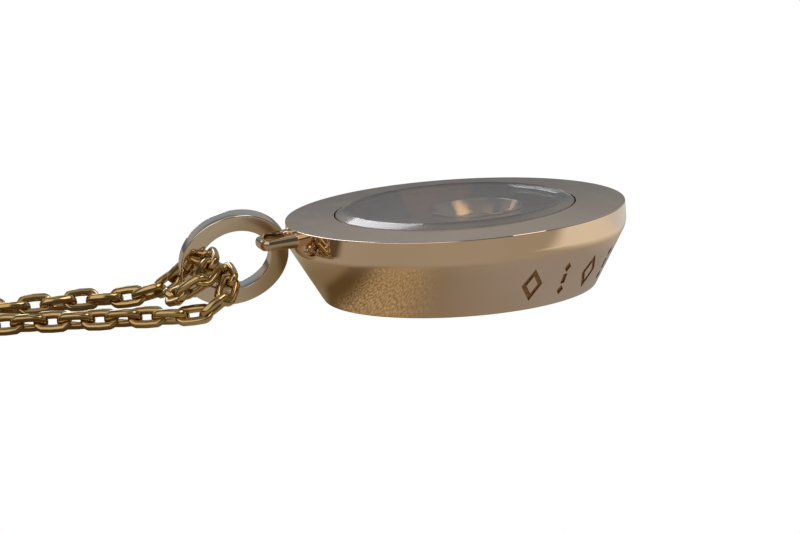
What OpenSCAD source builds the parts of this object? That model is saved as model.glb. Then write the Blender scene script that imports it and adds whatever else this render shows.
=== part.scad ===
// Round gold pendant with a loose diamond between two crystals, lying on its back.
// Its cable chain, a closed loop, is threaded through a flat bail ring.
// Millimetres. The origin is the centre of the back, +Z is up, and the lug and
// the chain are towards -X.

/* [Case] */
// Diameter of the case at its rim
case_d = 14; // [13.6:0.1:14.4]
// Height of the outer rim above the back
rim_h = 3.36; // [3.2:0.02:3.5]
// Rise of the bezel's face from the rim to the crystal
bezel_rise = 0.08; // [0:0.02:0.14]
// Height at which the straight band ends and the cone begins
band_z = 2.45; // [2.3:0.05:2.55]
// Diameter of the case at its back
back_d = 11.24; // [11:0.05:11.6]
// Radius of the soft turn from the band to the cone
band_turn_r = 0.8; // [0.4:0.1:1]
// Width of the bright broken edges
edge_w = 0.05; // [0.03:0.01:0.08]

/* [Crystals] */
// Diameter of the opening in the bezel
opening_d = 9.96; // [9.8:0.02:10]
// Width of the ledge that carries each crystal
ledge_w = 0.23; // [0.15:0.01:0.3]
// Thickness of the back crystal
back_crystal_t = 0.6; // [0.5:0.05:0.65]
// Height of the front crystal's underside above the back
front_ledge_z = 2.75; // [2.7:0.05:2.8]
// How far the front crystal stands proud of the bezel
crystal_proud = 0.2; // [0.1:0.02:0.3]
// Width of the polished bevel round the front crystal
crystal_bevel_w = 0.35; // [0.2:0.05:0.5]
// Gap round each crystal
fit_gap = 0.05; // [0.03:0.01:0.06]

/* [Lug] */
// Height of the lug's root above the back
lug_z = 2.95; // [2.9:0.01:3]
// Angle at which the lug slopes down to its tip, in degrees
lug_drop = 4; // [3:1:6]
// Thickness of the lug's legs at the root
root_t = 0.42; // [0.3:0.02:0.46]
// Height of the lug's legs at the root
root_h = 0.58; // [0.5:0.01:0.6]
// Thickness of the lug's bow
bow_t = 0.26; // [0.22:0.01:0.3]
// Height of the lug's bow
bow_h = 0.44; // [0.4:0.01:0.46]
// Half of the clear slot between the lug's legs
slot_half = 0.48; // [0.46:0.01:0.5]
// Distance from the case's axis to the inside of the lug's bow
bow_r = 8.16; // [8.15:0.01:8.2]
// Radius of the lug's inner corners
corner_r = 0.14; // [0.08:0.02:0.16]

/* [Bail ring] */
// Outer diameter of the bail ring
ring_od = 4.5; // [4.4:0.02:4.52]
// Width of its flat face
ring_face_w = 0.75; // [0.7:0.01:0.76]
// Thickness of the ring
ring_t = 0.52; // [0.46:0.01:0.54]
// Angle by which the ring leans, in degrees
ring_lean = 27; // [26:1:28]
// Distance from the case's axis to the ring's centre
ring_x = 9.39; // [9.38:0.01:9.4]
// Sideways place of the ring's centre
ring_y = 0.28; // [0.27:0.01:0.29]
// Height of the ring's centre
ring_z = 2.4; // [2.39:0.01:2.42]

/* [Diamond] */
// Diameter of the stone at its girdle
stone_d = 2.5; // [2.3:0.1:2.6]
// Diameter of the stone's table
table_d = 1.42; // [1.3:0.02:1.5]
// Height of the crown above the girdle
crown_h = 0.36; // [0.3:0.02:0.4]
// Thickness of the girdle
girdle_t = 0.05; // [0.04:0.01:0.08]
// Depth of the pavilion below the girdle
pavilion_h = 1.05; // [0.95:0.05:1.08]
// Outer diameter of the loose collet at its lip
collet_d = 3.9; // [3.7:0.1:4]
// Diameter of the collet's foot
collet_foot_d = 2.1; // [1.9:0.1:2.3]
// Height of the collet
collet_h = 1.95; // [1.9:0.05:2]
// Place of the loose diamond in the chamber along X
diamond_x = 0.9; // [-1.5:0.1:1.5]
// Place of the loose diamond in the chamber along Y
diamond_y = -0.1; // [-1.2:0.1:1.2]

/* [Chain] */
// Thickness of the cable chain, across its links
chain_d = 0.84; // [0.8:0.02:0.86]
// Radius of the clasp's ring, to the middle of its wire
clasp_r = 2.3; // [2:0.1:2.4]
// Wire diameter of the clasp's ring
clasp_wire_d = 0.9; // [0.8:0.05:1]

/* [Ornament] */
// Number of engraved marks along the cone
mark_count = 12; // [4:2:12]
// Angle between neighbouring marks, in degrees
mark_pitch = 14.5; // [12:0.5:14.5]
// Height of a tall mark, along the slope
mark_h = 1.6; // [1.2:0.1:1.7]
// Width of a lozenge
mark_w = 0.95; // [0.7:0.05:1]
// Width of the engraved stroke
stroke_w = 0.22; // [0.12:0.02:0.24]
// Depth of the engraving
engrave_depth = 0.06; // [0.04:0.01:0.1]

/* [Hidden] */
$fn = 96;

case_r = case_d / 2;
back_r = back_d / 2;
opening_r = opening_d / 2;
chamber_r = opening_r - ledge_w;
bezel_z = rim_h + bezel_rise;
crystal_r = opening_r - fit_gap;
// Half angle of the cone, from the vertical
cone_a = atan((case_r - back_r) / band_z);
// Slanted length of the cone, and the place of the marks' centre on it from the back
cone_len = band_z / cos(cone_a);
mark_s = 0.45 * cone_len;

ring_r = ring_od / 2;
hole_r = ring_r - ring_face_w;

stone_r = stone_d / 2;
table_r = table_d / 2;
collet_r = collet_d / 2;
// Running gap under the collet
slide_gap = 0.03;
collet_z = back_crystal_t + slide_gap;
// Height of the girdle's lower edge above the collet's foot
girdle_up = pavilion_h + 0.1;
seat_gap = 0.045;
bore_r = 0.7;
lip_w = 0.12;

// Route of the chain's middle line from one side of the clasp to the other:
// out along the far strand, through the bail ring, once round its limb and through
// it again, and back along the near strand
half_chain = chain_d / 2;
lie_z = 0.43;
ROUTE = [
    [-177, 8.8, lie_z], [-176, 22, lie_z], [-170, 34, lie_z], [-160, 44, lie_z],
    [-149, 50, lie_z], [-134, 52, lie_z], [-118, 50, lie_z], [-102, 45, lie_z],
    [-86, 39, lie_z], [-70, 32, lie_z], [-55, 24, lie_z], [-42, 16.5, lie_z],
    [-31, 10.5, lie_z], [-23.5, 6.9, lie_z], [-18.2, 5.3, lie_z], [-14.8, 4.9, lie_z],
    [-12.9, 4.4, 0.44], [-11.85, 3.8, 0.74], [-11.15, 3.2, 1.3], [-10.65, 2.42, 2],
    [-10.32, 1.4, 2.42], [-10.28, 0.46, 2.39], [-10.52, -0.34, 2.13], [-11.05, -0.66, 1.74],
    [-11.62, -0.36, 1.36], [-11.98, 0.42, 1.1], [-11.88, 1.25, 0.9], [-11.25, 1.85, 0.9],
    [-10.5, 1.9, 1.12], [-9.88, 1.57, 1.58], [-9.66, 0.75, 1.78], [-9.7, -0.05, 1.5],
    [-10.1, -0.68, 1], [-10.75, -0.85, 0.55], [-11.6, -0.65, lie_z], [-13.1, 0, lie_z],
    [-15.6, 0.95, lie_z], [-18.8, 2.1, lie_z], [-23.5, 3, lie_z], [-31, 1, lie_z],
    [-42, -4.5, lie_z], [-55, -12, lie_z], [-70, -20, lie_z], [-86, -27, lie_z],
    [-102, -33, lie_z], [-118, -38, lie_z], [-134, -40, lie_z], [-149, -38, lie_z],
    [-160, -32, lie_z], [-170, -23, lie_z], [-176, -11, lie_z], [-177, -0.2, lie_z]];
// Rings of the tube in each stretch of the route, and its sides
RINGS_PER_STRETCH = 2;
TUBE_SIDES = 8;
clasp_x = -177;
clasp_y = 4.3;
eye_r = 0.75;
eye_wire_d = 0.4;
// Sides of the lug's section, and sections in each of its bends
LUG_SIDES = 24;
LUG_STEPS = 6;

function arc(centre, r, from, to, steps) =
    [for (i = [0 : steps]) let (a = from + (to - from) * i / steps) centre + r * [cos(a), sin(a)]];

function unit(v) = v / norm(v);

// Point at t, 0 to 1, between p1 and p2 on the smooth curve through four points
function smooth_point(p0, p1, p2, p3, t) =
    0.5 * (2 * p1 + (p2 - p0) * t + (2 * p0 - 5 * p1 + 4 * p2 - p3) * t * t
    + (3 * p1 - p0 - 3 * p2 + p3) * t * t * t);

function smooth_route(p, n) = let (last = len(p) - 1) concat(
    [for (i = [0 : last - 1], k = [0 : n - 1])
        smooth_point(p[max(i - 1, 0)], p[i], p[i + 1], p[min(i + 2, last)], k / n)],
    [p[last]]);

// Solid through a row of rings of points, each as many, closed at both ends
module skin(rings) {
    sides = len(rings[0]);
    last = len(rings) - 1;
    walls = [for (i = [0 : last - 1], k = [0 : sides - 1])
        let (a = i * sides + k, b = i * sides + (k + 1) % sides)
        each [[a, b, a + sides], [b, b + sides, a + sides]]];
    start = [for (k = [0 : sides - 1]) sides - 1 - k];
    end = [for (k = [0 : sides - 1]) last * sides + k];
    polyhedron([for (ring = rings) each ring], concat([start], walls, [end]));
}

// Tube of radius r along the points p, each cross-section square to the route
module tube(p, r, sides) {
    last = len(p) - 1;
    skin([for (i = [0 : last])
        let (along = unit(p[min(i + 1, last)] - p[max(i - 1, 0)]))
        let (side = unit(cross(along, [0, 0, 1])))
        let (up = cross(side, along))
        [for (k = [0 : sides - 1])
            let (a = 360 * (k + 0.5) / sides)
            p[i] + r * (cos(a) * side + sin(a) * up)]]);
}

// Case: band, cone and bezel turned in one piece, with a ledge for each crystal
module case_body() {
    turn = band_turn_r * tan(cone_a / 2);
    rotate_extrude()
        polygon(concat(
            [[opening_r, 0], [back_r - edge_w, 0]],
            [[back_r + edge_w * sin(cone_a), edge_w * cos(cone_a)]],
            arc([case_r - band_turn_r, band_z + turn], band_turn_r, -cone_a, 0, 5),
            [[case_r, rim_h - edge_w], [case_r - edge_w, rim_h]],
            [[opening_r + edge_w, bezel_z], [opening_r, bezel_z - edge_w]],
            [[opening_r, front_ledge_z], [chamber_r, front_ledge_z]],
            [[chamber_r, back_crystal_t], [opening_r, back_crystal_t]]));
}

// Oval section of the lug, t thick and h high, that touches the inner line at p and
// lies outward of it
function lug_section(p, out, t, h) =
    [for (k = [0 : LUG_SIDES - 1])
        let (a = 360 * k / LUG_SIDES)
        [p.x + out.x * t * (1 + cos(a)) / 2, p.y + out.y * t * (1 + cos(a)) / 2, h * sin(a) / 2]];

// Lug: an oval bar bent round in a U, fuller at its roots, soldered to the band, with
// the bail ring in its slot
module lug() {
    root_depth = 0.5;
    bend_x = bow_r - case_r - corner_r;
    bend_y = slot_half - corner_r;
    near_leg = [
        lug_section([-root_depth, -slot_half], [0, -1], root_t, root_h),
        lug_section([0, -slot_half], [0, -1], root_t, root_h)];
    bends = [for (s = [-1, 1], i = [0 : LUG_STEPS])
        let (a = (s < 0 ? -90 : 0) + 90 * i / LUG_STEPS, out = [cos(a), sin(a)])
        lug_section([bend_x, s * bend_y] + corner_r * out, out, bow_t, bow_h)];
    far_leg = [
        lug_section([0, slot_half], [0, 1], root_t, root_h),
        lug_section([-root_depth, slot_half], [0, 1], root_t, root_h)];
    translate([-case_r, 0, lug_z])
        rotate([0, lug_drop, 180])
            skin(concat(near_leg, bends, far_leg));
}

module lozenge(w, h) {
    polygon([[w / 2, 0], [0, h / 2], [-w / 2, 0], [0, -h / 2]]);
}

// Open lozenge
module open_mark() {
    inner = 1 - 2 * stroke_w / mark_w;
    difference() {
        lozenge(mark_w, mark_h);
        lozenge(mark_w * inner, mark_h * inner);
    }
}

// Slim bar between two small lozenges
module bar_mark() {
    small = 0.3 * mark_h;
    square([stroke_w, 0.3 * mark_h], center = true);
    for (s = [-1, 1])
        translate([0, s * (mark_h - small) / 2])
            lozenge(0.75 * small, small);
}

// The engraved marks, centred opposite the lug
module ornament() {
    for (i = [0 : mark_count - 1])
        rotate([0, 0, (i - (mark_count - 1) / 2) * mark_pitch])
            translate([back_r + mark_s * sin(cone_a), 0, mark_s * cos(cone_a)])
                rotate([90, 0, 90])
                    rotate([cone_a, 0, 0])
                        translate([0, 0, -engrave_depth])
                            linear_extrude(1)
                                if (i % 2 == 0) open_mark(); else bar_mark();
}

module case() {
    color("#b3906a")
        difference() {
            union() {
                case_body();
                lug();
            }
            ornament();
        }
}

module front_crystal() {
    color("#c9ccd6", 0.5)
        rotate_extrude()
            polygon([
                [0, front_ledge_z], [crystal_r, front_ledge_z], [crystal_r, bezel_z],
                [crystal_r - crystal_bevel_w, bezel_z + crystal_proud],
                [0, bezel_z + crystal_proud]]);
}

module back_crystal() {
    color("#c9ccd6", 0.5)
        cylinder(r = crystal_r, h = back_crystal_t);
}

// Collet: an open cup with a polished inner slope and a seat under the girdle
module collet() {
    wall_r = stone_r + fit_gap;
    seat_depth = pavilion_h * (1 - (bore_r - seat_gap) / stone_r);
    color("#c79a63")
        translate([diamond_x, diamond_y, collet_z])
            rotate_extrude()
                polygon([
                    [bore_r, 0], [collet_foot_d / 2, 0],
                    [collet_r, collet_h - lip_w], [collet_r, collet_h - edge_w],
                    [collet_r - edge_w, collet_h], [collet_r - lip_w, collet_h],
                    [wall_r, girdle_up + lip_w], [wall_r, girdle_up],
                    [bore_r, girdle_up - seat_depth]]);
}

// Stone: a round brilliant with a table, crown and pavilion facets, and a 16-sided girdle
module stone() {
    star_r = (stone_r + table_r) / 2;
    lower_r = 0.3 * stone_r;
    // Heights that make the main facets flat
    star_z = girdle_t + crown_h * (stone_r - star_r * cos(22.5)) / (stone_r - table_r);
    lower_z = -pavilion_h * (stone_r - lower_r * cos(22.5)) / stone_r;
    ring8 = [for (i = [0 : 7]) 45 * i];
    ring16 = [for (i = [0 : 15]) 22.5 * i];
    points = concat(
        [for (a = ring8) [table_r * cos(a), table_r * sin(a), girdle_t + crown_h]],
        [for (a = ring8) [star_r * cos(a + 22.5), star_r * sin(a + 22.5), star_z]],
        [for (a = ring16) [stone_r * cos(a), stone_r * sin(a), girdle_t]],
        [for (a = ring16) [stone_r * cos(a), stone_r * sin(a), 0]],
        [for (a = ring8) [lower_r * cos(a + 22.5), lower_r * sin(a + 22.5), lower_z]],
        [[0, 0, -pavilion_h]]);
    table = 0;
    star = 8;
    upper = 16;
    lower = 32;
    main = 48;
    culet = 56;
    faces = concat(
        [[for (i = [0 : 7]) table + 7 - i]],
        [for (i = [0 : 7]) let (j = (i + 1) % 8, h = (i + 7) % 8, g = 2 * i) each [
            [table + i, table + j, star + i],
            [table + i, star + i, upper + g, star + h],
            [star + i, upper + g + 1, upper + g],
            [star + i, upper + (g + 2) % 16, upper + g + 1],
            [lower + g, lower + g + 1, main + i],
            [lower + g + 1, lower + (g + 2) % 16, main + i],
            [culet, main + h, lower + g, main + i]]],
        [for (i = [0 : 15]) let (j = (i + 1) % 16) [upper + i, upper + j, lower + j, lower + i]]);
    color("#e8edf5", 0.7)
        translate([diamond_x, diamond_y, collet_z + girdle_up])
            polyhedron(points, faces);
}

// Bail ring: a flat ring of oblong section that leans in the lug
module bail_ring() {
    half = ring_t / 2;
    color("#ad8f72")
        translate([-ring_x, ring_y, ring_z])
            rotate([90 + ring_lean, 0, 0])
                rotate_extrude()
                    polygon([
                        [hole_r, edge_w - half], [hole_r + edge_w, -half],
                        [ring_r - edge_w, -half], [ring_r, edge_w - half],
                        [ring_r, half - edge_w], [ring_r - edge_w, half],
                        [hole_r + edge_w, half], [hole_r, half - edge_w]]);
}

// Chain: the plain outer form of the cable chain, along its whole length
module chain() {
    color("#a87a3c")
        tube(smooth_route(ROUTE, RINGS_PER_STRETCH), half_chain, TUBE_SIDES);
}

// Clasp: one plain ring with an eye on each side for an end of the chain
module clasp() {
    wire_r = clasp_wire_d / 2;
    color("#b3906a")
        translate([clasp_x, clasp_y, wire_r]) {
            rotate_extrude()
                translate([clasp_r, 0])
                    circle(r = wire_r);
            for (s = [-1, 1])
                translate([0, s * (clasp_r + wire_r + eye_r - 0.1), 0])
                    rotate_extrude()
                        translate([eye_r, 0])
                            circle(d = eye_wire_d);
        }
}

case();
front_crystal();
back_crystal();
collet();
stone();
bail_ring();
chain();
clasp();
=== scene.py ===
# %% [markdown]
# # A gold pendant with a loose diamond, on its cable chain
# The pendant lies on its back on a pale floor and is seen from just above the floor.
# Its sizes and places come from the CAD frame, so we load that first.
# A mesh that we make lies exactly where its CAD solid lies, in metres.

# %% Load the frame
import math
import random

import bmesh
import bpy
from mathutils import Matrix
from mathutils import Vector


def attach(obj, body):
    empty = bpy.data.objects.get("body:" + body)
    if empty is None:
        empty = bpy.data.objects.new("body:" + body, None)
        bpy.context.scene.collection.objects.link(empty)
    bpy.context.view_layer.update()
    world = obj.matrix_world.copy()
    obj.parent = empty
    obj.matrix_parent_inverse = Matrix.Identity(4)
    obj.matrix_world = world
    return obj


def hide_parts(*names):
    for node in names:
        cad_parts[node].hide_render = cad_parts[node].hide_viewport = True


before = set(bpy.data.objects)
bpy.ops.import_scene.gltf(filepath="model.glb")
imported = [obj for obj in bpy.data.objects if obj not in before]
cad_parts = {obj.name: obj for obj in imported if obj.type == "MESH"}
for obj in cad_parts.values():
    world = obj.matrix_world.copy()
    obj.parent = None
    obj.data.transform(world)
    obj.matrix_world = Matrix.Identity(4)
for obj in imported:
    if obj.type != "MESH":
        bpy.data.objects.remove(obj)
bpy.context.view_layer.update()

MM = 0.001
print("CAD nodes:", sorted(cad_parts))

# %% [markdown]
# ## Camera
# The photograph was taken from close to the table with a long lens, so the round case
# is seen as a thin ellipse and parallel edges stay nearly parallel. Three vectors give
# the camera's turn: where it looks, and which way its right and its top point. It rolls
# a little, because the pendant in the picture isn't quite level. Seen from above, its
# right and the way it looks are also the directions in which the studio is laid out.

# %% Camera
CAMERA_PLACE = Vector((-40.066, -131.05, 28.638)) * MM
LOOKS = Vector((0.27010, 0.94244, -0.19710)).normalized()
RIGHT = Vector((0.95533, -0.28782, -0.06710)).normalized()
UP = RIGHT.cross(LOOKS).normalized()
RIGHT_FLAT = Vector((RIGHT.x, RIGHT.y, 0)).normalized()
AWAY_FLAT = Vector((LOOKS.x, LOOKS.y, 0)).normalized()
LENS = 152.53
SENSOR_W = 36

camera_data = bpy.data.cameras.new("camera")
camera_data.sensor_width = SENSOR_W
camera_data.lens = LENS
camera_data.clip_start = MM
camera_data.clip_end = 10
camera = bpy.data.objects.new("camera", camera_data)
bpy.context.scene.collection.objects.link(camera)
turn = Matrix((RIGHT, UP, -LOOKS)).transposed().to_4x4()
camera.matrix_world = Matrix.Translation(CAMERA_PLACE) @ turn
bpy.context.scene.camera = camera
print("camera height, mm:", round(CAMERA_PLACE.z / MM, 1))

# %% [markdown]
# ## Working in edit mode
# Operators act on whatever is selected, so each step starts with nothing selected and
# then picks vertices, edges or faces by where they are or which way they face. A place
# is matched to a hundredth of a millimetre or better, because a mesh rounds its numbers.
# These few helpers do that, and every piece below is made with them.

# %% Helpers for edit mode
LEVEL_SLACK = 0.002 * MM
RING_SLACK = 0.003 * MM
POINT_SLACK = 0.01 * MM
NEARLY_LEVEL = 0.9
CRISP = 13
SOFT = 30
ROUND = 60


def deselect():
    if bpy.context.object and bpy.context.object.mode != "OBJECT":
        bpy.ops.object.mode_set(mode="OBJECT")
    bpy.ops.object.select_all(action="DESELECT")


def choose(piece):
    """Makes a piece the only selected object, and the active one."""
    deselect()
    piece.select_set(True)
    bpy.context.view_layer.objects.active = piece


def edit(piece):
    choose(piece)
    bpy.ops.object.mode_set(mode="EDIT")


def pick(kind, test):
    """Selects the vertices, edges or faces of the piece in edit mode that pass the test."""
    bpy.ops.mesh.select_mode(type=kind)
    bpy.ops.mesh.select_all(action="DESELECT")
    data = bpy.context.object.data
    mesh = bmesh.from_edit_mesh(data)
    parts = {"VERT": mesh.verts, "EDGE": mesh.edges, "FACE": mesh.faces}[kind]
    picked = [part for part in parts if test(part)]
    for part in picked:
        part.select_set(True)
    mesh.select_flush_mode()
    bmesh.update_edit_mesh(data)
    return len(picked)


def at_height(z, facing):
    """Test for flat faces at a height, facing up (1) or down (-1)."""
    def test(face):
        level = abs(face.calc_center_median().z - z) < LEVEL_SLACK
        return level and face.normal.z * facing > NEARLY_LEVEL
    return test


def on_ring(radius, z):
    """Test for edges of a ring round the vertical axis."""
    def test(edge):
        return all(
            abs(math.hypot(v.co.x, v.co.y) - radius) < RING_SLACK
            and abs(v.co.z - z) < RING_SLACK
            for v in edge.verts)
    return test


def push(x=0.0, y=0.0, z=0.0):
    """Extrudes what is selected."""
    bpy.ops.mesh.extrude_region_move(TRANSFORM_OT_translate={"value": (x, y, z)})


def scale(x=1.0, y=1.0, z=1.0, centre=(0, 0, 0)):
    bpy.ops.transform.resize(value=(x, y, z), center_override=centre)


def widen(ratio):
    """Scales a turned form about its axis."""
    scale(ratio, ratio)


def inset(width):
    bpy.ops.mesh.inset(thickness=width, use_even_offset=True)


def bevel(width, steps=3):
    bpy.ops.mesh.bevel(offset=width, segments=steps, profile=0.5, clamp_overlap=False)


def settle(piece):
    """Moves a piece's place into its mesh, so that its object sits at the origin."""
    choose(piece)
    bpy.ops.object.transform_apply(location=True, rotation=True, scale=True)


def smooth(piece, degrees):
    """Smooth shading, crisp where two faces meet at more than an angle.

    At CRISP degrees a flat keeps its own normals right up to a broken edge, and so it
    mirrors like a true flat. At SOFT a broken edge runs smoothly into the flat.
    """
    choose(piece)
    bpy.ops.object.shade_smooth_by_angle(angle=math.radians(degrees))
    normals = piece.modifiers.new("weighted normals", "WEIGHTED_NORMAL")
    normals.keep_sharp = True
    bpy.ops.object.modifier_apply(modifier=normals.name)


def combine(piece, other, operation):
    """Adds or cuts another solid with an exact boolean, and removes it."""
    choose(piece)
    step = piece.modifiers.new(operation, "BOOLEAN")
    step.operation = operation
    step.solver = "EXACT"
    step.object = other
    bpy.ops.object.modifier_apply(modifier=step.name)
    bpy.data.objects.remove(other)


def tell(piece):
    """Prints a piece's triangles and its open edges, of which a closed one has none."""
    mesh = bmesh.new()
    mesh.from_mesh(piece.data)
    open_edges = sum(not edge.is_manifold for edge in mesh.edges)
    triangles = sum(len(face.verts) - 2 for face in mesh.faces)
    mesh.free()
    print(piece.name, "triangles", triangles, "open edges", open_edges)


# %% [markdown]
# ## Case
# The real case is turned from one bar: a straight band below a flat bezel, and under
# it a cone that runs in to the back. We start from the band as a cylinder with many
# sides, so that its reflections run smoothly, extrude its underside down and scale it
# to make the cone, and inset the two ends for the crystals. The chamber between them
# is opened by deleting both floors and bridging their edges. Where the cone meets the
# band the metal turns in a soft round; the other edges are only broken, by a few
# hundredths of a millimetre, and the one round the bezel shows as a bright line.

# %% Case sizes
CASE_R = 7 * MM
RIM_Z = 3.36 * MM
BEZEL_Z = 3.44 * MM
BAND_Z = 2.45 * MM
BACK_R = 5.62 * MM
TURN_R = 0.8 * MM
EDGE_W = 0.05 * MM
OPENING_R = 4.98 * MM
CHAMBER_R = 4.75 * MM
BACK_CRYSTAL_T = 0.6 * MM
LEDGE_Z = 2.75 * MM
CONE_ANGLE = math.atan((CASE_R - BACK_R) / BAND_Z)
print("cone leans", round(math.degrees(CONE_ANGLE), 1), "degrees from upright")

# %% Turn the case
deselect()
bpy.ops.mesh.primitive_cylinder_add(
    vertices=288, radius=CASE_R, depth=RIM_Z - BAND_Z, location=(0, 0, (RIM_Z + BAND_Z) / 2))
case = bpy.context.object
case.name = "turned_case"
settle(case)
edit(case)
pick("FACE", at_height(BAND_Z, -1))
push(z=-BAND_Z)
widen(BACK_R / CASE_R)

# %% Sink the two crystal seats and open the chamber
pick("FACE", at_height(0, -1))
inset(BACK_R - OPENING_R)
push(z=BACK_CRYSTAL_T)
inset(OPENING_R - CHAMBER_R)
bpy.ops.mesh.delete(type="FACE")
pick("FACE", at_height(RIM_Z, 1))
inset(CASE_R - OPENING_R)
bpy.ops.transform.translate(value=(0, 0, BEZEL_Z - RIM_Z))
push(z=LEDGE_Z - BEZEL_Z)
inset(OPENING_R - CHAMBER_R)
bpy.ops.mesh.delete(type="FACE")
pick("EDGE", lambda edge: edge.is_boundary)
bpy.ops.mesh.bridge_edge_loops()

# %% Break the edges
BREAK_W = 0.016 * MM
RIM_BREAK = 0.036 * MM
pick("EDGE", on_ring(CASE_R, BAND_Z))
bevel(TURN_R * math.tan(CONE_ANGLE / 2), steps=8)
pick("EDGE", on_ring(CASE_R, RIM_Z))
bevel(RIM_BREAK)
pick("EDGE", on_ring(OPENING_R, BEZEL_Z))
bevel(BREAK_W)
pick("EDGE", on_ring(BACK_R, 0))
bevel(EDGE_W)
pick("EDGE", on_ring(OPENING_R, 0))
bevel(BREAK_W / 2, steps=1)
deselect()
tell(case)

# %% [markdown]
# ## Lug
# The lug is an oval bar bent round in a U and soldered to the band, with its legs on
# both sides of the bail ring. It is drawn flat in front of the band: a circle is
# stretched into the oval, extruded along one leg, where it also gets slimmer, spun
# through a quarter turn at each corner and extruded again. What faces the bail ring
# stays straight. Then it is turned into place and united with the case.

# %% Draw the lug
ROOT_T = 0.42 * MM
ROOT_H = 0.58 * MM
BOW_T = 0.26 * MM
BOW_H = 0.44 * MM
SLOT_HALF = 0.48 * MM
SLOT_L = 1.16 * MM
CORNER_R = 0.14 * MM
BEND_X = SLOT_L - CORNER_R
BEND_Y = SLOT_HALF - CORNER_R
ROOT_DEPTH = 0.5 * MM

deselect()
bpy.ops.mesh.primitive_circle_add(
    vertices=32, radius=0.5, fill_type="NGON",
    location=(-ROOT_DEPTH, -SLOT_HALF - ROOT_T / 2, 0), rotation=(0, math.pi / 2, 0))
lug = bpy.context.object
lug.name = "lug"
lug.scale = (ROOT_H, ROOT_T, 1)
settle(lug)
edit(lug)


def end_face(centre):
    """Test for the face whose middle is at a point."""
    return lambda face: (face.calc_center_median() - Vector(centre)).length < POINT_SLACK


def bend(y):
    """Spins the picked end face through a quarter turn round a corner of the U."""
    bpy.ops.mesh.spin(
        steps=8, angle=-math.pi / 2, axis=(0, 0, 1), center=(BEND_X, y, 0))


pick("FACE", end_face((-ROOT_DEPTH, -SLOT_HALF - ROOT_T / 2, 0)))
push(x=ROOT_DEPTH)
push(x=BEND_X)
scale(y=BOW_T / ROOT_T, z=BOW_H / ROOT_H, centre=(BEND_X, -SLOT_HALF, 0))
bend(-BEND_Y)
bow_out = CORNER_R + BOW_T / 2
print("bow face found:", pick("FACE", end_face((BEND_X + bow_out, -BEND_Y, 0))))
push(y=2 * BEND_Y)
bend(BEND_Y)
print("leg face found:", pick("FACE", end_face((BEND_X, BEND_Y + bow_out, 0))))
push(x=-BEND_X)
scale(y=ROOT_T / BOW_T, z=ROOT_H / BOW_H, centre=(0, SLOT_HALF, 0))
push(x=-ROOT_DEPTH)
bpy.ops.mesh.select_all(action="SELECT")
bpy.ops.mesh.normals_make_consistent(inside=False)
deselect()
tell(lug)

# %% Turn the lug into place and solder it on
LUG_Z = 2.95 * MM
LUG_DROP = math.radians(4)
lug.matrix_world = (
    Matrix.Translation((-CASE_R, 0, LUG_Z))
    @ Matrix.Rotation(math.pi, 4, "Z")
    @ Matrix.Rotation(LUG_DROP, 4, "Y"))
settle(lug)
combine(case, lug, "UNION")
tell(case)

# %% [markdown]
# ## Engraving
# A row of marks is engraved into the cone opposite the lug: open lozenges, and slim
# bars between two small lozenges. Each mark is drawn once as a small prism, copied
# round the cone with its own mesh, and all copies are joined and cut away at once.
# A cut gives real walls and a real floor, which catch the light as an engraver's do.
# The lozenge's line, measured level, is as wide as the bar.

# %% Draw the two kinds of mark
MARK_H = 1.6 * MM
MARK_W = 0.95 * MM
STROKE_W = 0.22 * MM
ENGRAVE_DEPTH = 0.06 * MM
PRISM_H = 0.6 * MM


def lozenge(name, width, height, up=0.0):
    """A lozenge drawn flat, as wide along X and as tall along Y as asked."""
    deselect()
    bpy.ops.mesh.primitive_circle_add(vertices=4, radius=0.5, fill_type="NGON")
    piece = bpy.context.object
    piece.name = name
    piece.scale = (width, height, 1)
    piece.location.y = up
    settle(piece)
    return piece


def thicken(piece):
    """Makes a flat form into a solid prism."""
    edit(piece)
    bpy.ops.mesh.select_all(action="SELECT")
    push(z=PRISM_H)
    bpy.ops.mesh.select_all(action="SELECT")
    bpy.ops.mesh.normals_make_consistent(inside=False)
    deselect()


open_mark = lozenge("open_mark", MARK_W, MARK_H)
half_w = MARK_W / 2
half_h = MARK_H / 2
edge_distance = half_w * half_h / math.hypot(half_w, half_h)
edit(open_mark)
bpy.ops.mesh.select_all(action="SELECT")
inset(edge_distance * STROKE_W / half_w)
bpy.ops.mesh.delete(type="FACE")
thicken(open_mark)
tell(open_mark)

SMALL_H = 0.3 * MARK_H
SMALL_W = 0.75 * SMALL_H
deselect()
bpy.ops.mesh.primitive_plane_add(size=1)
bar_mark = bpy.context.object
bar_mark.name = "bar_mark"
bar_mark.scale = (STROKE_W, SMALL_H, 1)
settle(bar_mark)
ends = [
    lozenge("end", SMALL_W, SMALL_H, side * (MARK_H - SMALL_H) / 2)
    for side in (-1, 1)]
choose(bar_mark)
for end in ends:
    end.select_set(True)
bpy.ops.object.join()
thicken(bar_mark)
tell(bar_mark)

# %% Copy the marks round the cone and cut them
MARK_COUNT = 12
MARK_PITCH = math.radians(14.5)
MARK_SHARE = 0.45
MARK_AT = MARK_SHARE * BAND_Z / math.cos(CONE_ANGLE)


def own_copy(piece, name, place):
    """A copy with its own mesh, at a place given as a matrix."""
    copied = piece.copy()
    copied.data = piece.data.copy()
    copied.name = name
    bpy.context.scene.collection.objects.link(copied)
    copied.matrix_world = place
    return copied


def join_copies(copies, name):
    """Joins copies into one piece, whose object sits at the origin."""
    deselect()
    for copied in copies:
        copied.select_set(True)
    bpy.context.view_layer.objects.active = copies[0]
    bpy.ops.object.transform_apply(location=True, rotation=True, scale=True)
    bpy.ops.object.join()
    copies[0].name = name
    return copies[0]


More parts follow.
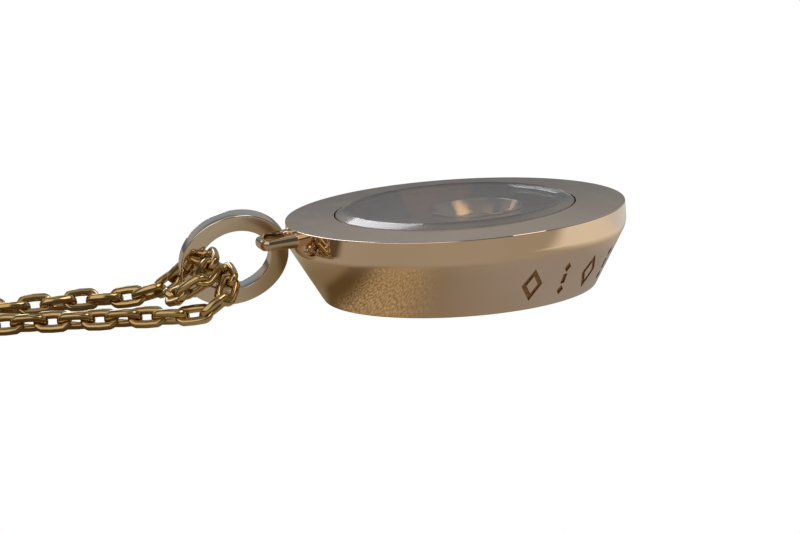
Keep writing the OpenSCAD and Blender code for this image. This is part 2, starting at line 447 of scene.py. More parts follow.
on_cone = (
    Matrix.Translation((
        BACK_R + MARK_AT * math.sin(CONE_ANGLE), 0, MARK_AT * math.cos(CONE_ANGLE)))
    @ Matrix.Rotation(math.pi / 2, 4, "Z")
    @ Matrix.Rotation(math.pi / 2 + CONE_ANGLE, 4, "X")
    @ Matrix.Translation((0, 0, -ENGRAVE_DEPTH)))
marks = []
for i in range(MARK_COUNT):
    azimuth = (i - (MARK_COUNT - 1) / 2) * MARK_PITCH
    kind = open_mark if i % 2 == 0 else bar_mark
    place = Matrix.Rotation(azimuth, 4, "Z") @ on_cone
    marks.append(own_copy(kind, f"mark_{i}", place))
cutter = join_copies(marks, "marks")
combine(case, cutter, "DIFFERENCE")
bpy.data.objects.remove(open_mark)
bpy.data.objects.remove(bar_mark)
smooth(case, CRISP)
tell(case)

# %% [markdown]
# ## Bail ring
# A flat ring of square-edged section leans in the lug and lets the chain run through
# it. A disc is inset on both faces, the middle is deleted and the hole is bridged. Its
# four edges are broken, because that is what shows as a bright line, and the two outer
# ones more than those of the hole, because they rub on the lug and on the clothes.

# %% Make the bail ring
RING_R = 2.25 * MM
HOLE_R = 1.5 * MM
RING_T = 0.52 * MM
RING_PLACE = Vector((-9.39, 0.28, 2.4)) * MM
RING_LEAN = 27
RING_TURN = math.radians(90 + RING_LEAN)
OUTER_BREAK = 0.07 * MM
HOLE_BREAK = 0.03 * MM

deselect()
bpy.ops.mesh.primitive_cylinder_add(vertices=192, radius=RING_R, depth=RING_T)
ring = bpy.context.object
ring.name = "flat_bail_ring"
edit(ring)
for facing in (1, -1):
    pick("FACE", at_height(facing * RING_T / 2, facing))
    inset(RING_R - HOLE_R)
    bpy.ops.mesh.delete(type="FACE")
pick("EDGE", lambda edge: edge.is_boundary)
bpy.ops.mesh.bridge_edge_loops()
for facing in (1, -1):
    for radius, width in ((RING_R, OUTER_BREAK), (HOLE_R, HOLE_BREAK)):
        pick("EDGE", on_ring(radius, facing * RING_T / 2))
        bevel(width)
smooth(ring, SOFT)
ring.matrix_world = Matrix.Translation(RING_PLACE) @ Matrix.Rotation(RING_TURN, 4, "X")
settle(ring)
tell(ring)

# %% [markdown]
# ## Collet
# The stone sits in an open cup that slides about between the crystals. Its outside
# widens from a small foot to a narrow lip, and a polished slope inside leads down to
# the seat under the stone. It is turned as the case is: extrude, scale and inset.

# %% Make the collet
DIAMOND_PLACE = Vector((0.9, -0.1, 0.63)) * MM
COLLET_R = 1.95 * MM
FOOT_R = 1.05 * MM
COLLET_H = 1.95 * MM
LIP_W = 0.12 * MM
WALL_R = 1.3 * MM
BORE_R = 0.7 * MM
GIRDLE_UP = 1.15 * MM
SEAT_Z = 0.65 * MM

deselect()
bpy.ops.mesh.primitive_cylinder_add(
    vertices=128, radius=COLLET_R, depth=LIP_W, location=(0, 0, COLLET_H - LIP_W / 2))
collet = bpy.context.object
collet.name = "collet_cup"
settle(collet)
edit(collet)
pick("FACE", at_height(COLLET_H - LIP_W, -1))
push(z=LIP_W - COLLET_H)
widen(FOOT_R / COLLET_R)
inset(FOOT_R - BORE_R)
bpy.ops.mesh.delete(type="FACE")
pick("FACE", at_height(COLLET_H, 1))
inset(LIP_W)
push(z=GIRDLE_UP + LIP_W - COLLET_H)
widen(WALL_R / (COLLET_R - LIP_W))
push(z=-LIP_W)
push(z=SEAT_Z - GIRDLE_UP)
widen(BORE_R / WALL_R)
bpy.ops.mesh.delete(type="FACE")
pick("EDGE", lambda edge: edge.is_boundary)
bpy.ops.mesh.bridge_edge_loops()
pick("EDGE", on_ring(COLLET_R, COLLET_H))
bevel(EDGE_W)
pick("EDGE", on_ring(COLLET_R - LIP_W, COLLET_H))
bevel(EDGE_W / 2)
pick("EDGE", on_ring(FOOT_R, 0))
bevel(EDGE_W)
smooth(collet, CRISP)
collet.location = DIAMOND_PLACE
settle(collet)
tell(collet)

# %% [markdown]
# ## Crystals
# Two discs close the chamber. The front one stands a little proud of the bezel, with a
# polished bevel round it that flashes white where it faces a lamp. The bevel is smoothed
# into the flat, so the border between them hardly shows. The back one is a plain disc
# level with the back.

# %% Make the crystals
CRYSTAL_R = 4.93 * MM
PROUD = 0.2 * MM
FACET_W = 0.45 * MM
POLISH_W = 0.03 * MM


def disc(name, low, high):
    """A crystal blank between two heights, left in edit mode."""
    deselect()
    bpy.ops.mesh.primitive_cylinder_add(
        vertices=192, radius=CRYSTAL_R, depth=high - low, location=(0, 0, (low + high) / 2))
    piece = bpy.context.object
    piece.name = name
    settle(piece)
    edit(piece)
    return piece


front = disc("front_crystal_disc", LEDGE_Z, BEZEL_Z)
pick("FACE", at_height(BEZEL_Z, 1))
push(z=PROUD)
widen((CRYSTAL_R - FACET_W) / CRYSTAL_R)
pick("EDGE", on_ring(CRYSTAL_R - FACET_W, BEZEL_Z + PROUD))
bevel(POLISH_W, steps=2)
pick("EDGE", on_ring(CRYSTAL_R, BEZEL_Z))
bevel(POLISH_W, steps=2)
smooth(front, CRISP)
tell(front)

back = disc("back_crystal_disc", 0, BACK_CRYSTAL_T)
for height in (0, BACK_CRYSTAL_T):
    pick("EDGE", on_ring(CRYSTAL_R, height))
    bevel(POLISH_W, steps=2)
smooth(back, CRISP)
tell(back)

# %% [markdown]
# ## Links
# The chain is a fine cable chain of long oval links in square wire with rounded edges.
# One link is a disc stretched into an oval, inset and bridged like the bail ring, and
# its edges are rounded until only a narrow flat is left on each side. The part of the
# loop outside the picture gets a lighter link, because it is repeated almost four
# hundred times: a stretched ring of twelve by five faces.

# %% Make the two links
LINK_W = 0.95 * MM
LINK_L = 1.57 * MM
WIRE = 0.3 * MM
ROUND_W = 0.1 * MM
STRETCH = (LINK_L - LINK_W) / 2
OFF_CENTRE = 0.001 * MM


def stretch_link():
    """Moves both halves of the link in edit mode apart along X."""
    for side in (-1, 1):
        pick("VERT", lambda vert, side=side: vert.co.x * side > OFF_CENTRE)
        bpy.ops.transform.translate(value=(side * STRETCH, 0, 0))


deselect()
bpy.ops.mesh.primitive_cylinder_add(vertices=20, radius=LINK_W / 2, depth=WIRE)
near_link = bpy.context.object
near_link.name = "near_link"
edit(near_link)
stretch_link()
for facing in (1, -1):
    pick("FACE", at_height(facing * WIRE / 2, facing))
    inset(WIRE)
    bpy.ops.mesh.delete(type="FACE")
pick("EDGE", lambda edge: edge.is_boundary)
bpy.ops.mesh.bridge_edge_loops()
pick("EDGE", lambda edge: edge.calc_face_angle(0) > math.radians(60))
bevel(ROUND_W)
smooth(near_link, ROUND)
tell(near_link)

deselect()
bpy.ops.mesh.primitive_torus_add(
    major_segments=12, minor_segments=5,
    major_radius=(LINK_W - WIRE) / 2, minor_radius=WIRE / 2)
far_link = bpy.context.object
far_link.name = "far_link"
edit(far_link)
stretch_link()
smooth(far_link, ROUND)
tell(far_link)

# %% [markdown]
# ## Route of the chain
# The chain is a closed loop: from the clasp out along the far strand, up through the
# bail ring, once round its limb and through it again, and back along the near strand.
# These are the points of the chain's middle line, the same as in the CAD model, with a
# smooth curve through them.

# %% Route
LIE_Z = 0.43
ROUTE = [
    (-177, 8.8, LIE_Z), (-176, 22, LIE_Z), (-170, 34, LIE_Z), (-160, 44, LIE_Z),
    (-149, 50, LIE_Z), (-134, 52, LIE_Z), (-118, 50, LIE_Z), (-102, 45, LIE_Z),
    (-86, 39, LIE_Z), (-70, 32, LIE_Z), (-55, 24, LIE_Z), (-42, 16.5, LIE_Z),
    (-31, 10.5, LIE_Z), (-23.5, 6.9, LIE_Z), (-18.2, 5.3, LIE_Z), (-14.8, 4.9, LIE_Z),
    (-12.9, 4.4, 0.44), (-11.85, 3.8, 0.74), (-11.15, 3.2, 1.3), (-10.65, 2.42, 2),
    (-10.32, 1.4, 2.42), (-10.28, 0.46, 2.39), (-10.52, -0.34, 2.13), (-11.05, -0.66, 1.74),
    (-11.62, -0.36, 1.36), (-11.98, 0.42, 1.1), (-11.88, 1.25, 0.9), (-11.25, 1.85, 0.9),
    (-10.5, 1.9, 1.12), (-9.88, 1.57, 1.58), (-9.66, 0.75, 1.78), (-9.7, -0.05, 1.5),
    (-10.1, -0.68, 1), (-10.75, -0.85, 0.55), (-11.6, -0.65, LIE_Z), (-13.1, 0, LIE_Z),
    (-15.6, 0.95, LIE_Z), (-18.8, 2.1, LIE_Z), (-23.5, 3, LIE_Z), (-31, 1, LIE_Z),
    (-42, -4.5, LIE_Z), (-55, -12, LIE_Z), (-70, -20, LIE_Z), (-86, -27, LIE_Z),
    (-102, -33, LIE_Z), (-118, -38, LIE_Z), (-134, -40, LIE_Z), (-149, -38, LIE_Z),
    (-160, -32, LIE_Z), (-170, -23, LIE_Z), (-176, -11, LIE_Z), (-177, -0.2, LIE_Z)]
FINE_STEPS = 60


def smooth_curve(points, steps):
    """Points on the smooth curve through the given ones."""
    points = [Vector(point) * MM for point in points]
    padded = [points[0]] + points + [points[-1]]
    curve = []
    for p0, p1, p2, p3 in zip(padded, padded[1:], padded[2:], padded[3:]):
        for k in range(steps):
            t = k / steps
            curve.append(0.5 * (
                2 * p1 + (p2 - p0) * t + (2 * p0 - 5 * p1 + 4 * p2 - p3) * t ** 2
                + (3 * p1 - p0 - 3 * p2 + p3) * t ** 3))
    return curve + [points[-1]]


curve = smooth_curve(ROUTE, FINE_STEPS)
length = sum((b - a).length for a, b in zip(curve, curve[1:]))
print("length of the chain, mm:", round(length / MM, 2))

# %% [markdown]
# ## Joints between links
# Neighbouring links touch at points that are equally far apart, so we walk along the
# curve and mark one such point after another. A link lies between two of them. How far
# apart they are is found by halving a range, until all 430 links just fill the curve.

# %% Walk the joints
END_GAP = 0.185 * MM
PITCH_RANGE = (0.95 * MM, 0.98 * MM)
PITCH_HALVINGS = 30
POINT_HALVINGS = 24
LINK_COUNT = 430


def walk(curve, start, pitch):
    """Points along the curve that are a pitch apart in a straight line."""
    joints = []
    run = 0.0
    for a, b in zip(curve, curve[1:]):
        step = (b - a).length
        if not joints:
            if run + step >= start:
                joints.append(a.lerp(b, (start - run) / step))
        elif (b - joints[-1]).length >= pitch:
            low, high = 0.0, 1.0
            for _ in range(POINT_HALVINGS):
                middle = (low + high) / 2
                if (a.lerp(b, middle) - joints[-1]).length < pitch:
                    low = middle
                else:
                    high = middle
            joints.append(a.lerp(b, high))
        run += step
    return joints


low, high = PITCH_RANGE
for _ in range(PITCH_HALVINGS):
    pitch = (low + high) / 2
    joints = walk(curve, END_GAP, pitch)
    link_count = len(joints) - 1
    last_gap = (joints[-1] - curve[-1]).length
    if link_count > LINK_COUNT or (link_count == LINK_COUNT and last_gap > END_GAP):
        low = pitch
    else:
        high = pitch
print("links", link_count, "pitch, mm:", round(pitch / MM, 4),
      "last gap, mm:", round(last_gap / MM, 3))

# %% [markdown]
# ## Laying the links
# Each link is turned a quarter turn against its neighbours, at about 45 degrees to the
# floor, and no two lie quite alike. The strand on the far side of the loop has rolled
# over a little more. A link that would reach under the floor is lifted onto it.

# %% Place the links
NEAR_X = -22 * MM
LINK_TURN = math.radians(45)
FAR_STRAND_LEAN = math.radians(12)
ROLL_SPREAD = 0.12
random.seed(4)


def link_place(start, stop, roll):
    """Where a link lies between two joints, turned about its length, on the floor."""
    along = (stop - start).normalized()
    side = along.cross(Vector((0, 0, 1))).normalized()
    up = side.cross(along)
    normal = up * math.cos(roll) + side * math.sin(roll)
    across = normal.cross(along)
    axes = Matrix((along, across, normal)).transposed().to_4x4()
    middle = (start + stop) / 2
    reach_down = abs(math.sin(roll)) * LINK_W / 2 + abs(math.cos(roll)) * WIRE / 2
    middle.z = max(middle.z, reach_down)
    return Matrix.Translation(middle) @ axes


near_copies = []
far_copies = []
for i, (start, stop) in enumerate(zip(joints, joints[1:])):
    roll = LINK_TURN if i % 2 else -LINK_TURN
    roll += random.uniform(-ROLL_SPREAD, ROLL_SPREAD)
    if i < link_count / 2:
        roll += FAR_STRAND_LEAN
    near = start.x > NEAR_X
    model = near_link if near else far_link
    copies = near_copies if near else far_copies
    copies.append(own_copy(model, f"link_{i}", link_place(start, stop, roll)))
print("near links", len(near_copies), "far links", len(far_copies))

# %% [markdown]
# ## End rings
# A small round ring joins each end of the chain to an eye of the clasp. The rings lie
# at a slant, as they do when the chain lies flat.

# %% Make the end rings and join the chain
CLASP_X = -177 * MM
CLASP_Y = 4.3 * MM
END_RING_OUT = 4.3 * MM
END_RING_Z = 0.45 * MM
END_RING_R = 0.5 * MM
END_WIRE = 0.22 * MM
END_TURN = math.radians(45)
for side in (-1, 1):
    deselect()
    bpy.ops.mesh.primitive_torus_add(
        major_segments=24, minor_segments=8,
        major_radius=END_RING_R, minor_radius=END_WIRE / 2,
        location=(CLASP_X, CLASP_Y + side * END_RING_OUT, END_RING_Z),
        rotation=(0, END_TURN, 0))
    end_ring = bpy.context.object
    settle(end_ring)
    smooth(end_ring, ROUND)
    far_copies.append(end_ring)
chain_near = join_copies(near_copies, "chain_near")
chain_far = join_copies(far_copies, "chain_far")
bpy.data.objects.remove(near_link)
bpy.data.objects.remove(far_link)
tell(chain_near)
tell(chain_far)

# %% [markdown]
# ## Writing finishes as sums
# A finish is a small network of nodes. Two classes make it readable: Wire stands for
# one output and understands plus, minus, times and divided by, and Finish adds any
# node from its type, its settings and what goes into it. Where a finish changes from
# place to place, a ramp says from where to where, in millimetres.

# %% Wire and Finish
class Wire:
    """One output of a node, with the sums that the finishes use."""

    def __init__(self, finish, socket):
        self.finish = finish
        self.socket = socket

    def sum(self, operation, *values):
        return self.finish.add(
            "ShaderNodeMath", {"operation": operation}, dict(enumerate(values)))

    def __add__(self, other):
        return self.sum("ADD", self, other)

    def __sub__(self, other):
        return self.sum("SUBTRACT", self, other)

    def __rsub__(self, other):
        return self.sum("SUBTRACT", other, self)

    def __mul__(self, other):
        return self.sum("MULTIPLY", self, other)

    def __truediv__(self, other):
        return self.sum("DIVIDE", self, other)

    def root(self):
        """The square root."""
        return self.sum("SQRT", self)

    def ramp(self, start, stop):
        """Rises smoothly from 0 at the first value to 1 at the second."""
        return self.finish.add(
            "ShaderNodeMapRange", {"interpolation_type": "SMOOTHSTEP"},
            {"Value": self, "From Min": start, "From Max": stop})

    def between(self, start, full, last, stop):
        """Rises from 0 to 1 over the first two values, falls over the last two."""
        return self.ramp(start, full) * (1 - self.ramp(last, stop))


class Finish:
    """A node tree that is filled node by node."""

    def __init__(self, tree):
        self.tree = tree
        tree.nodes.clear()

    def add(self, kind, settings=None, inputs=None, out=0):
        """Adds a node, with its inputs by name or number, and returns one output."""
        node = self.tree.nodes.new(kind)
        for name, value in (settings or {}).items():
            setattr(node, name, value)
        for key, value in (inputs or {}).items():
            if isinstance(value, Wire):
                self.tree.links.new(value.socket, node.inputs[key])
            else:
                node.inputs[key].default_value = value
        return Wire(self, node.outputs[out]) if len(node.outputs) else None

    def place(self):
        """Object coordinates as three numbers, in millimetres, and as a vector."""
        vector = self.add("ShaderNodeTexCoord", out=3)
        split = [self.add("ShaderNodeSeparateXYZ", None, {0: vector}, out=i) for i in range(3)]
        return [axis / MM for axis in split], vector

    def noise(self, vector, scale, detail, stretch=(1, 1, 1)):
        """Noise whose patches are about 1 / scale metres wide."""
        mapped = self.add("ShaderNodeMapping", None, {"Vector": vector, "Scale": stretch})
        return self.add(
            "ShaderNodeTexNoise", None, {"Vector": mapped, "Scale": scale, "Detail": detail})

    def blend(self, factor, first, second):
        """Mixes two colours."""
        return self.add(
            "ShaderNodeMix", {"data_type": "RGBA"}, {0: factor, 6: first, 7: second}, out=2)


def material(name):
    made = bpy.data.materials.new(name)
    made.use_nodes = True
    return made, Finish(made.node_tree)


def dress(piece, finish_material):
    piece.data.materials.clear()
    piece.data.materials.append(finish_material)


# %% [markdown]
# ## Gold
# Polished gold is a clean mirror that tints what it reflects. Its colour drifts very
# little, and handling leaves soft smears and hairlines that make the mirror a trifle
# duller here and there. Four golds differ: the case is rose, the ring is paler, the
# collet is more orange and a little dull, and the chain is a deep yellow, because its
# links shade each other.

# %% Gold finishes
def rgb(red, green, blue):
    return (red, green, blue, 1)


SMEAR = 0.05
HAIRLINE = 0.04


def gold(name, light, deep, dull=0.03):
    """Polished gold between two colours; returns its material, finish, place in
    millimetres, place as a vector, colour and roughness."""
    made, finish = material(name)
    place, vector = finish.place()
    drift = finish.noise(vector, 350, 3)
    smears = finish.noise(vector, 900, 4)
    hairs = finish.noise(vector, 2500, 2, (1, 0.08, 1))
    colour = finish.blend(drift.ramp(0.35, 0.65), light, deep)
    roughness = smears.ramp(0.45, 0.75) * SMEAR + hairs.ramp(0.62, 0.72) * HAIRLINE + dull
    return made, finish, place, vector, colour, roughness


def finish_metal(finish, colour, roughness):
    shader = finish.add("ShaderNodeBsdfPrincipled", None, {
        "Base Color": colour, "Metallic": 1.0, "Roughness": roughness})
    finish.add("ShaderNodeOutputMaterial", None, {"Surface": shader})


ROSE = rgb(0.88, 0.70, 0.54)
ROSE_DEEP = rgb(0.86, 0.67, 0.51)
ORANGE = rgb(0.80, 0.56, 0.34)
ORANGE_DEEP = rgb(0.76, 0.51, 0.29)
PALE = rgb(0.83, 0.71, 0.60)
PALE_DEEP = rgb(0.81, 0.68, 0.57)
YELLOW = rgb(0.63, 0.455, 0.22)
YELLOW_DEEP = rgb(0.54, 0.38, 0.175)

ring_gold, finish, _, _, colour, roughness = gold("ring_gold", PALE, PALE_DEEP)
finish_metal(finish, colour, roughness)
collet_gold, finish, _, _, colour, roughness = gold(
    "collet_gold", ORANGE, ORANGE_DEEP, dull=0.2)
finish_metal(finish, colour, roughness)
chain_gold, finish, _, _, colour, roughness = gold(
    "chain_gold", YELLOW, YELLOW_DEEP, dull=0.08)
finish_metal(finish, colour, roughness)

# %% [markdown]
# ## Case finish
# The engraved marks are dark, because old polish and shade sit in them. How deep a
# point lies under the cone's surface is worked out from its place, and that depth
# turns the bright gold into a dull brown. The lug is painted a deeper gold as painted
# shade, for the shade it lies in between the case and the ring, and the flat bezel is a
# little duller than the band, because it takes the knocks. Each zone fades in between
# its two numbers, in millimetres, and the zone of the marks' walls and floors fades out
# again below them.

# %% Case finish
DARK_BROWN = rgb(0.30, 0.16, 0.07)
LIGHT_BROWN = rgb(0.46, 0.27, 0.13)
# Painted shade: the lug's deeper gold.
LUG_PAINTED_SHADE = rgb(0.65, 0.49, 0.33)
ENGRAVED_DULL = 0.4
BEZEL_DULL = 0.12
MARK_DEPTHS = (0.015, 0.05, 0.1, 0.14)
OVER_MARKS = (2.3, 2.4)
OUT_OF_BAND = (7.02, 7.06)
AT_BEZEL_Z = (3.355, 3.362)
OUT_OF_OPENING = (4.97, 4.985)

case_gold, finish, (x, y, z), vector, colour, roughness = gold("case_gold", ROSE, ROSE_DEEP)
out_from_axis = (x * x + y * y).root()
surface = z * math.tan(CONE_ANGLE) + BACK_R / MM
depth = (surface - out_from_axis) * math.cos(CONE_ANGLE)
engraved = depth.between(*MARK_DEPTHS) * (1 - z.ramp(*OVER_MARKS))
speckle = finish.noise(vector, 9000, 3)
brown = finish.blend(speckle.ramp(0.3, 0.7), DARK_BROWN, LIGHT_BROWN)
colour = finish.blend(engraved, colour, brown)
# Painted shade: the lug is painted a deeper gold.
colour = finish.blend(out_from_axis.ramp(*OUT_OF_BAND), colour, LUG_PAINTED_SHADE)
on_bezel = z.ramp(*AT_BEZEL_Z) * out_from_axis.ramp(*OUT_OF_OPENING)
finish_metal(finish, colour, roughness + engraved * ENGRAVED_DULL + on_bezel * BEZEL_DULL)

# %% [markdown]
# ## Crystal and diamond
# Both are clear. The crystal is sapphire, which bends light more than glass does, and
# it carries faint finger smears. Its bevel keeps a satin grey trace of its grinding,
# which fades in outwards over half a millimetre. The diamond bends light much more
# still, which is what makes its facets sparkle.

# %% Crystal and diamond
SAPPHIRE_IOR = 1.77
DIAMOND_IOR = 2.42
GROUND_LIGHT = rgb(0.40, 0.36, 0.33)
GROUND_DARK = rgb(0.33, 0.30, 0.27)
GROUND_DULL = 0.12
GROUND_SPREAD = 0.1
BEVEL_OUT = (4.2, 4.75)
BEVEL_UP = (3.38, 3.42)


def clear_stone(name, tint, faint, ior, smear=0.0, ground=0.0):
    """A clear stone; ground is the satin share on a front crystal's bevel."""
    made, finish = material(name)
    (x, y, z), vector = finish.place()
    patches = finish.noise(vector, 400, 4)
    clear = finish.add("ShaderNodeBsdfPrincipled", None, {
        "Base Color": finish.blend(patches.ramp(0.35, 0.65), tint, faint),
        "Roughness": patches.ramp(0.5, 0.8) * smear,
        "IOR": ior,
        "Transmission Weight": 1.0})
    satin = finish.add("ShaderNodeBsdfPrincipled", None, {
        "Base Color": finish.blend(patches.ramp(0.3, 0.7), GROUND_LIGHT, GROUND_DARK),
        "Roughness": patches.ramp(0.3, 0.7) * GROUND_SPREAD + GROUND_DULL,
        "IOR": ior})
    out_from_axis = (x * x + y * y).root()
    on_bevel = out_from_axis.ramp(*BEVEL_OUT) * z.ramp(*BEVEL_UP)
    finish.add("ShaderNodeOutputMaterial", None, {
        "Surface": finish.add(
            "ShaderNodeMixShader", None, {0: on_bevel * ground, 1: clear, 2: satin})})
    return made


crystal = clear_stone(
    "crystal", rgb(0.97, 0.97, 0.98), rgb(0.95, 0.96, 0.98), SAPPHIRE_IOR,
    smear=0.02, ground=0.8)
diamond = clear_stone("diamond", rgb(0.99, 0.99, 1.0), rgb(0.97, 0.98, 1.0), DIAMOND_IOR)

for piece, made in (
        (case, case_gold), (ring, ring_gold), (collet, collet_gold), (front, crystal),
        (back, crystal), (chain_near, chain_gold), (chain_far, chain_gold),
        (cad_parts["stone"], diamond), (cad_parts["clasp"], chain_gold)):
    dress(piece, made)

# %% [markdown]
# ## Floor
# The picture was cut out on pure white, so the camera sees white everywhere round the
# pendant. The gold still mirrors the real studio, so the floor and the world tell the
# camera's rays from all others. To all other rays the floor glows in the colour of beige
# paper, with shade and light painted into that glow. Painted shade makes it darker and
# warmer under the case's overhang, darkest there at the left, and a painted shadow lies
# beside the chain. Coarse grain shows in the cone's left part. A bright card-shaped pool
# of painted light lies at the right, warm in front and cooler at its far end. Most places
# are given rightward and nearer as the camera sees them, in millimetres from the middle
# of the case.

# %% White for the camera only
def studio_mix(finish, kind, seen, mirrored):
    """White to the camera, the studio's own colour to every other ray."""
    camera_ray = finish.add("ShaderNodeLightPath", out=0)
    white = finish.add(kind, None, {"Color": seen})
    studio = finish.add(kind, None, {"Color": mirrored})
    return finish.add("ShaderNodeMixShader", None, {0: camera_ray, 1: studio, 2: white})


WHITE = rgb(1, 1, 1)

# %% Floor
OPEN_FLOOR = rgb(0.367, 0.325, 0.255)
# The next six colours are painted shade, painted light and a painted shadow in the floor's
# glow.
OVERHANG_SHADE_LEFT = rgb(0.22, 0.165, 0.09)
OVERHANG_SHADE_RIGHT = rgb(0.32, 0.295, 0.275)
SHADE = rgb(0.11, 0.07, 0.03)
LIGHT_POOL_FRONT = rgb(0.75, 0.70, 0.59)
LIGHT_POOL_END = rgb(0.63, 0.63, 0.62)
CHAIN_SHADOW = rgb(0.10, 0.072, 0.038)
GRAIN = rgb(0.56, 0.43, 0.24)
FLOOR_W = 4
FLOOR_Z = -0.02 * MM

deselect()
bpy.ops.mesh.primitive_plane_add(size=FLOOR_W, location=(0, 0, FLOOR_Z))
floor = bpy.context.object
floor.name = "floor"
floor_with_painted_light, finish = material("floor_with_painted_light")
(x, y, z), vector = finish.place()
rightward = x * RIGHT_FLAT.x + y * RIGHT_FLAT.y
nearer = x * RIGHT_FLAT.y - y * RIGHT_FLAT.x
out_from_axis = (x * x + y * y).root()
# Painted shade under the case's overhang, darker and warmer at the left.
floor_and_painted_light = finish.blend(rightward.ramp(-4.5, 4.5), OVERHANG_SHADE_LEFT, OVERHANG_SHADE_RIGHT)
shade = rightward.between(-6.9, -6.1, -5.2, -3.8) * nearer.ramp(0.5, 2)
floor_and_painted_light = finish.blend(shade, floor_and_painted_light, SHADE)
floor_and_painted_light = finish.blend(out_from_axis.ramp(7, 10), floor_and_painted_light, OPEN_FLOOR)
# Painted light: a bright card-shaped pool at the right, warm in front, cooler at its far end.
light_pool_zone = rightward.between(7, 12, 60, 80) * (1 - nearer.ramp(8, 12.5))
light_pool_colour = finish.blend(nearer.ramp(-2, -9), LIGHT_POOL_FRONT, LIGHT_POOL_END)
floor_and_painted_light = finish.blend(light_pool_zone, floor_and_painted_light, light_pool_colour)
# Painted shadow on the floor beside the chain, left of the ring.
chain_shadow_zone = y.between(-1.8, 0.6, 6.5, 9) * (1 - x.ramp(-12.5, -11))
floor_and_painted_light = finish.blend(chain_shadow_zone, floor_and_painted_light, CHAIN_SHADOW)
grain = finish.noise(vector, 15000, 4, (1, 0.4, 1))
grain_zone = (
    out_from_axis.between(5.2, 5.8, 7.8, 9.2)
    * rightward.between(-5.8, -4.4, -3.4, -0.6) * nearer.ramp(1.5, 3))
floor_and_painted_light = finish.blend(grain_zone * grain.ramp(0.3, 0.75), floor_and_painted_light, GRAIN)
finish.add("ShaderNodeOutputMaterial", None, {
    "Surface": studio_mix(finish, "ShaderNodeEmission", WHITE, floor_and_painted_light)})
dress(floor, floor_with_painted_light)

# %% [markdown]
# ## Room
# The room is the world's colour by direction, given as a height from 0 at the horizon
# to 1 overhead, and as how far behind the pendant and how far to its right. It is dim
# at the horizon, grey above it and bluish overhead, greyer high up at the back, and
# dark on the camera's side. A strip of wall high in front and a warm window at the
# front left draw the cream lines along the edges of the rim and the ring. Overhead are
# the dark rim and the pale middle of a ceiling lamp.

# %% World
HORIZON_LEFT = rgb(0.125, 0.14, 0.155)
HORIZON_RIGHT = rgb(0.165, 0.175, 0.185)
GREY_WALL = rgb(0.34, 0.345, 0.345)
BLUE_CEILING = rgb(0.27, 0.35, 0.43)
BACK_CEILING = rgb(0.31, 0.34, 0.39)
DARK_FRONT = rgb(0.085, 0.095, 0.10)
NEAR_WALL = rgb(0.45, 0.39, 0.32)
WINDOW = rgb(1.0, 0.9, 0.76)
LAMP_RIM = rgb(0.23, 0.21, 0.18)
LAMP_MIDDLE = rgb(0.60, 0.59, 0.56)

world = bpy.data.worlds.new("studio")
bpy.context.scene.world = world
world.use_nodes = True
finish = Finish(world.node_tree)
direction = finish.add("ShaderNodeTexCoord", out=0)
across, away, height = (
    finish.add("ShaderNodeSeparateXYZ", None, {0: direction}, out=i) for i in range(3))
to_right = across * RIGHT_FLAT.x + away * RIGHT_FLAT.y
behind = away * RIGHT_FLAT.x - across * RIGHT_FLAT.y
room = finish.blend(to_right.ramp(-0.35, 0.35), HORIZON_LEFT, HORIZON_RIGHT)
room = finish.blend(height.ramp(0.08, 0.34), room, GREY_WALL)
room = finish.blend(height.ramp(0.4, 0.85), room, BLUE_CEILING)
room = finish.blend(height.ramp(0.6, 0.7) * behind.ramp(0.4, 0.5), room, BACK_CEILING)
room = finish.blend(behind.ramp(0.35, 0.0), room, DARK_FRONT)
near_wall = height.between(0.7, 0.78, 0.92, 0.95) * behind.ramp(-0.1, -0.3)
room = finish.blend(near_wall, room, NEAR_WALL)
window = (
    height.between(0.2, 0.3, 0.84, 0.9)
    * (1 - behind.ramp(-0.25, -0.05)) * (1 - to_right.ramp(-0.1, 0.1)))
room = finish.blend(window, room, WINDOW)
room = finish.blend(height.ramp(0.93, 0.97), room, LAMP_RIM)
room = finish.blend(height.ramp(0.983, 0.993), room, LAMP_MIDDLE)
finish.add("ShaderNodeOutputWorld", None, {
    "Surface": studio_mix(finish, "ShaderNodeBackground", WHITE, room)})

# %% [markdown]
# ## Lamps
# Three softboxes light the pendant. Those at the right and at the left each light a
# warm patch on the slope inside the collet, and the one behind at the left flashes in
# the crystal's bevel. A softbox is given by the way to it from the pendant (right, away
# and up), its width and height in metres, the brightness of its face and its tint. Its
# power follows from the brightness and the area.

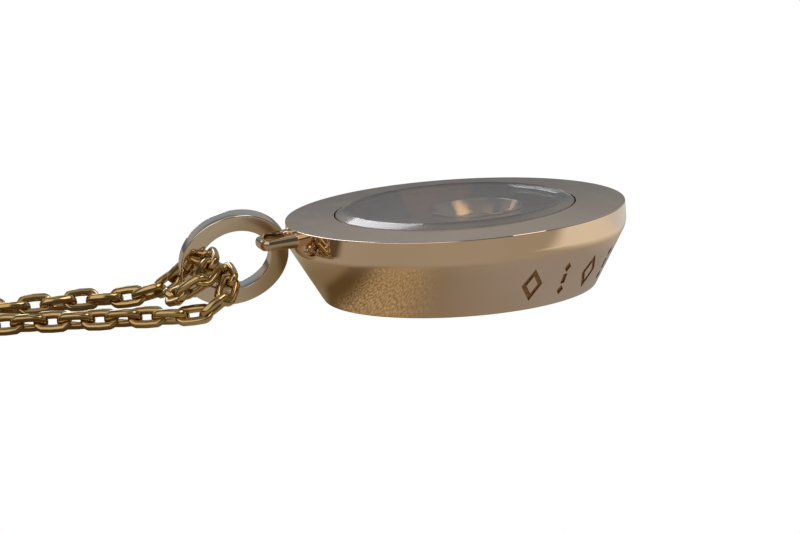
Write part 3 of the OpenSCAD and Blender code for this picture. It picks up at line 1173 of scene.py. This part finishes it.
# %% Lamps
LAMP_DISTANCE = 0.4
SOFTBOXES = [
    ("right", (0.472, -0.252, 0.839), (0.26, 0.13), 2.2, (1, 0.86, 0.68)),
    ("left", (-0.62, 0.69, 0.37), (0.07, 0.13), 1.6, (1, 0.95, 0.88)),
    ("behind_left", (-0.27, 0.74, 0.62), (0.1, 0.18), 3.6, (0.94, 0.95, 1))]

for name, (right, away, up), (width, height), brightness, tint in SOFTBOXES:
    data = bpy.data.lights.new(name, "AREA")
    data.shape = "RECTANGLE"
    data.size = width
    data.size_y = height
    data.energy = brightness * math.pi * width * height
    data.color = tint
    lamp = bpy.data.objects.new(name, data)
    bpy.context.scene.collection.objects.link(lamp)
    toward = (right * RIGHT_FLAT + away * AWAY_FLAT + Vector((0, 0, up))).normalized()
    turn = toward.to_track_quat("Z", "Y").to_matrix().to_4x4()
    lamp.matrix_world = Matrix.Translation(toward * LAMP_DISTANCE) @ turn
    lamp.visible_camera = False
    print(name, "power, W:", round(data.energy, 3))

# %% [markdown]
# ## Picture
# Colours are shown as they are, with no film look. Light passes through many facets in
# the diamond and the crystals, so it may bounce often there, but between mirrors of
# gold three times are enough.

# %% Picture
scene = bpy.context.scene
scene.view_settings.view_transform = "Standard"
scene.view_settings.look = "None"
scene.view_settings.exposure = 0
scene.view_settings.gamma = 1
scene.cycles.max_bounces = 32
scene.cycles.transmission_bounces = 32
scene.cycles.glossy_bounces = 3

# %% [markdown]
# ## Riding with the frame
# Every piece is attached to the body of the model that it moves with, and the CAD solid
# that it stands for is hidden. The diamond and its collet slide together; all else stays
# with the pendant.

# %% Ride and replace
for piece, body, node, slot in (
        (case, "pendant", "case", "case_gold"),
        (ring, "pendant", "bail_ring", "ring_gold"),
        (front, "pendant", "front_crystal", "crystal"),
        (back, "pendant", "back_crystal", "crystal"),
        (chain_near, "pendant", "chain", "chain_gold"),
        (chain_far, "pendant", "chain", "chain_gold"),
        (collet, "diamond", "collet", "collet_gold")):
    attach(piece, body)
    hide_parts(node)
